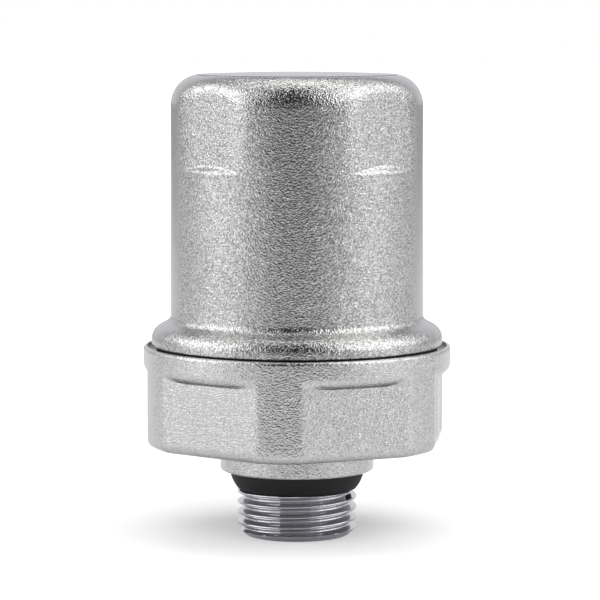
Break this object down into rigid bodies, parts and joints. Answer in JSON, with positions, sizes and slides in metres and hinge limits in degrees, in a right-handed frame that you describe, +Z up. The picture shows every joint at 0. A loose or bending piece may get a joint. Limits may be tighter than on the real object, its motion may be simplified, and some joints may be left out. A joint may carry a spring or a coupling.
{
  "type": "water hammer arrestor",
  "caption": "Cylindrical nickel-plated water hammer arrestor with a hexagon base, male pipe thread inlet, tapered seal and a sprung piston inside.",
  "frame": {"origin": "centre of the inlet spigot's end face, on which the part stands", "axes": "+Z up along the common axis from the inlet to the closed crown, -Y towards the viewer, +X to the viewer's right"},
  "size_m": [0.0538, 0.0538, 0.0811],
  "materials": {
    "nickel_plated_base": "blasted, nickel plated, thread turned bright",
    "nickel_plated_cap": "blasted, nickel plated",
    "inlet_rubber": "matte moulded rubber",
    "seal_rubber": "greased rubber",
    "piston_plastic": "moulded acetal",
    "guide_plastic": "filled fluoropolymer strip",
    "steel_plate": "pressed stainless steel",
    "spring_steel": "drawn stainless wire"
  },
  "bodies": {
    "housing": {"lower_body": "nickel_plated_base", "upper_body": "nickel_plated_cap", "inlet_seal_ring": "inlet_rubber", "body_seal_ring": "seal_rubber", "spring_top_washer": "steel_plate", "counter_spring": "spring_steel"},
    "piston_assembly": {"piston": "piston_plastic", "piston_seal_lower": "seal_rubber", "piston_seal_upper": "seal_rubber", "piston_guide_ring": "guide_plastic", "spring_seat_plate": "steel_plate"}
  },
  "joints": [
    {"name": "piston_slide", "type": "slide", "parent": "housing", "child": "piston_assembly", "axis": [0, 0, 1], "range_m": [0, 0.02], "stiffness_N_per_m": 12000, "deforming": ["counter_spring"]}
  ]
}
